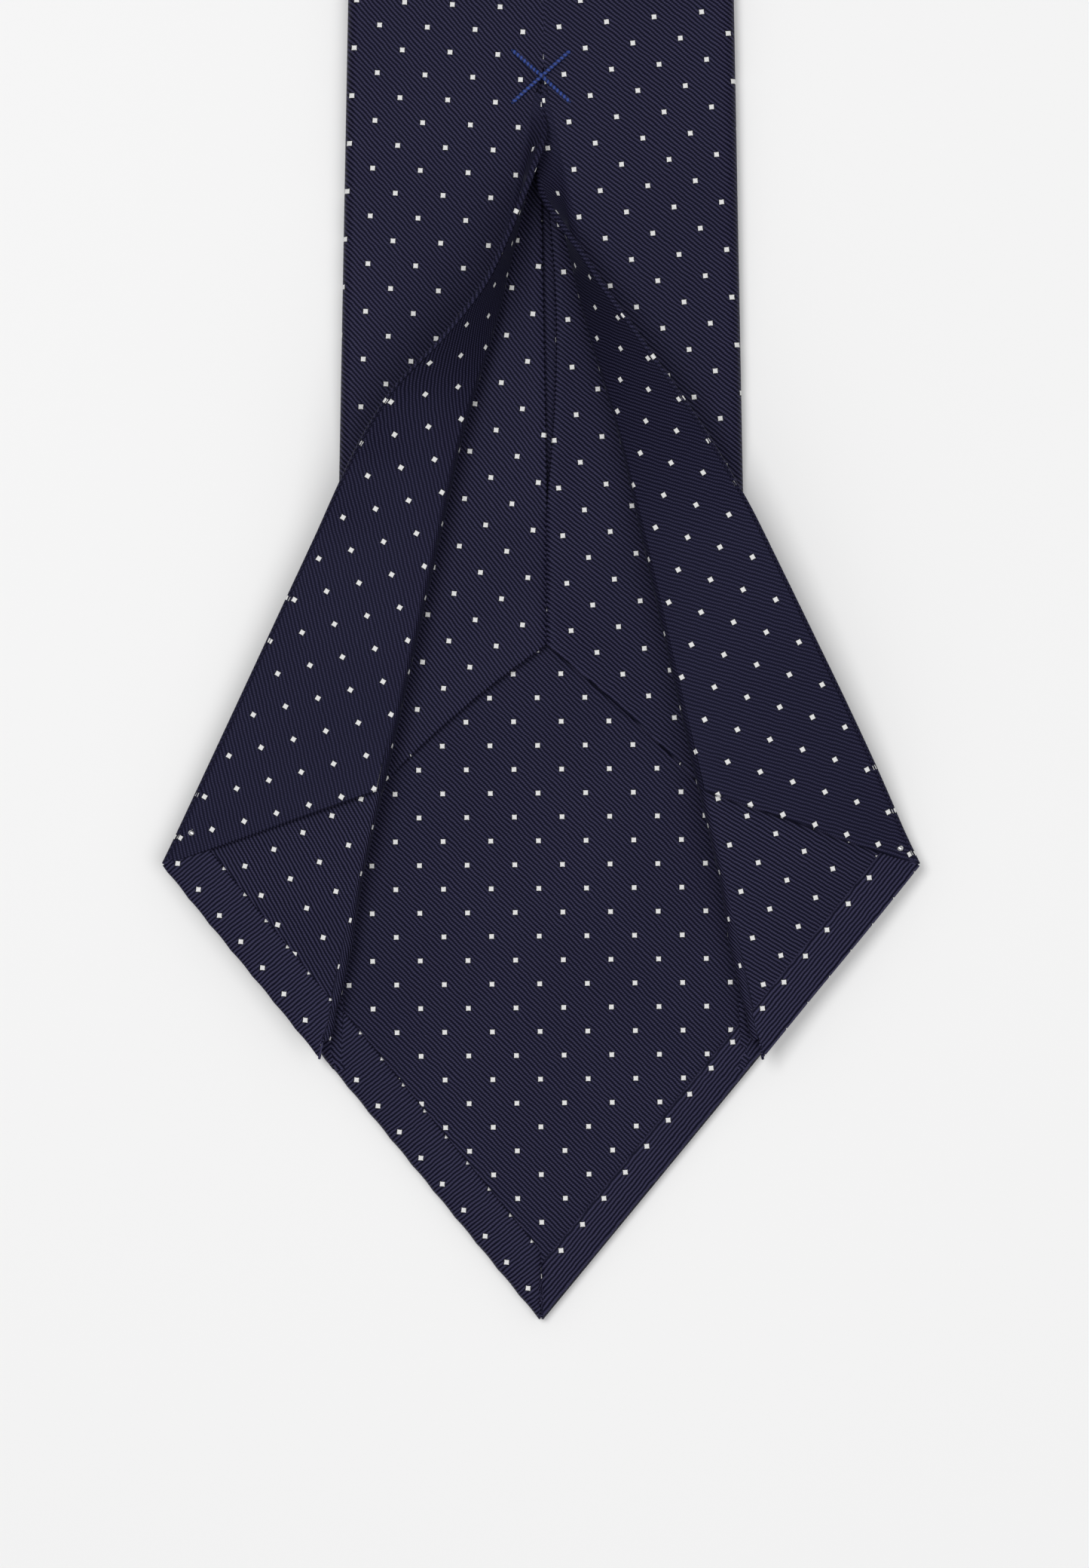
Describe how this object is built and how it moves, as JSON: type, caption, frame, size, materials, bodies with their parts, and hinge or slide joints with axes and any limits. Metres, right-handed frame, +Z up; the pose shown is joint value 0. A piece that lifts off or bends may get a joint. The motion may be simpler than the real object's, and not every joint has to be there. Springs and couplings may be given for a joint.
{
  "type": "necktie",
  "caption": "Silk necktie lying on its front, its upper length folded away and the lower back folds of its wide blade turned open like lapels.",
  "frame": {"origin": "middle of the base of the bounding box, under the blade's face", "axes": "+Y along the tie, away from the point of the wide blade; +Z up, out of the tie's back; +X to the right as the back is seen with the point towards the viewer"},
  "size_m": [0.1494, 0.5996, 0.0202],
  "materials": {
    "dotted_silk": "navy silk twill with small woven off-white dots",
    "silk_tipping": "the same dotted navy twill, used as lining",
    "silk_hem": "the same dotted navy twill, turned in and pressed",
    "silk_loop": "the same navy twill, folded into a strap",
    "wool_interlining": "soft undyed wool cloth",
    "blue_thread": "thick twisted royal blue silk thread",
    "navy_thread": "fine navy silk thread",
    "pin_steel": "polished nickel-plated steel"
  },
  "bodies": {
    "blade": {"blade_bar_tack": "blue_thread", "blade_interlining": "wool_interlining", "blade_slip_stitch": "navy_thread", "centre_tipping": "silk_tipping", "face_panel": "dotted_silk", "keeper_loop": "silk_loop", "left_blade_hem": "silk_hem", "left_inner_fold": "dotted_silk", "left_middle_fold": "dotted_silk", "left_outer_fold": "dotted_silk", "right_blade_hem": "silk_hem", "right_inner_fold": "dotted_silk", "right_middle_fold": "dotted_silk", "right_outer_fold": "dotted_silk"},
    "left_wing": {"left_outer_wing": "dotted_silk", "left_middle_wing": "dotted_silk", "left_wing_tipping": "silk_tipping", "left_wing_hem": "silk_hem", "left_corner_pin": "pin_steel"},
    "right_wing": {"right_outer_wing": "dotted_silk", "right_middle_wing": "dotted_silk", "right_wing_tipping": "silk_tipping", "right_wing_hem": "silk_hem", "right_corner_pin": "pin_steel"},
    "second_run": {"lower_neck_face": "dotted_silk", "lower_neck_left_fold": "dotted_silk", "lower_neck_right_fold": "dotted_silk", "upper_blade_face": "dotted_silk", "upper_blade_left_fold": "dotted_silk", "upper_blade_right_fold": "dotted_silk", "upper_interlining": "wool_interlining", "upper_slip_stitch": "navy_thread"},
    "third_run": {"neck_interlining": "wool_interlining", "neck_slip_stitch": "navy_thread", "upper_neck_face": "dotted_silk", "upper_neck_left_fold": "dotted_silk", "upper_neck_right_fold": "dotted_silk", "upper_tail_face": "dotted_silk", "upper_tail_left_fold": "dotted_silk", "upper_tail_right_fold": "dotted_silk"},
    "tail_run": {"tail_bar_tack": "blue_thread", "tail_face": "dotted_silk", "tail_interlining": "wool_interlining", "tail_left_fold": "dotted_silk", "tail_left_hem": "silk_hem", "tail_right_fold": "dotted_silk", "tail_right_hem": "silk_hem", "tail_slip_stitch": "navy_thread", "tail_tipping": "silk_tipping"}
  },
  "joints": [
    {"name": "left_wing_fold", "type": "hinge", "parent": "blade", "child": "left_wing", "pos_m": [0, -0.04825, 0.0068], "axis": [0.2187, 0.9758, 0], "range_deg": [0, 178]},
    {"name": "right_wing_fold", "type": "hinge", "parent": "blade", "child": "right_wing", "pos_m": [0, -0.04825, 0.0068], "axis": [0.2187, -0.9758, 0], "range_deg": [0, 178]},
    {"name": "first_crease", "type": "hinge", "parent": "blade", "child": "second_run", "pos_m": [0, 0.30025, 0.0054], "axis": [-1, 0, 0], "range_deg": [0, 178]},
    {"name": "second_crease", "type": "hinge", "parent": "second_run", "child": "third_run", "pos_m": [0, 0.00025, 0.0098], "axis": [1, 0, 0], "range_deg": [0, 178]},
    {"name": "third_crease", "type": "hinge", "parent": "third_run", "child": "tail_run", "pos_m": [0, 0.30025, 0.0151], "axis": [-1, 0, 0], "range_deg": [0, 178]}
  ],
  "couplings": [
    {"joint": "second_crease", "follows": "first_crease", "ratio": 1},
    {"joint": "third_crease", "follows": "first_crease", "ratio": 1}
  ]
}
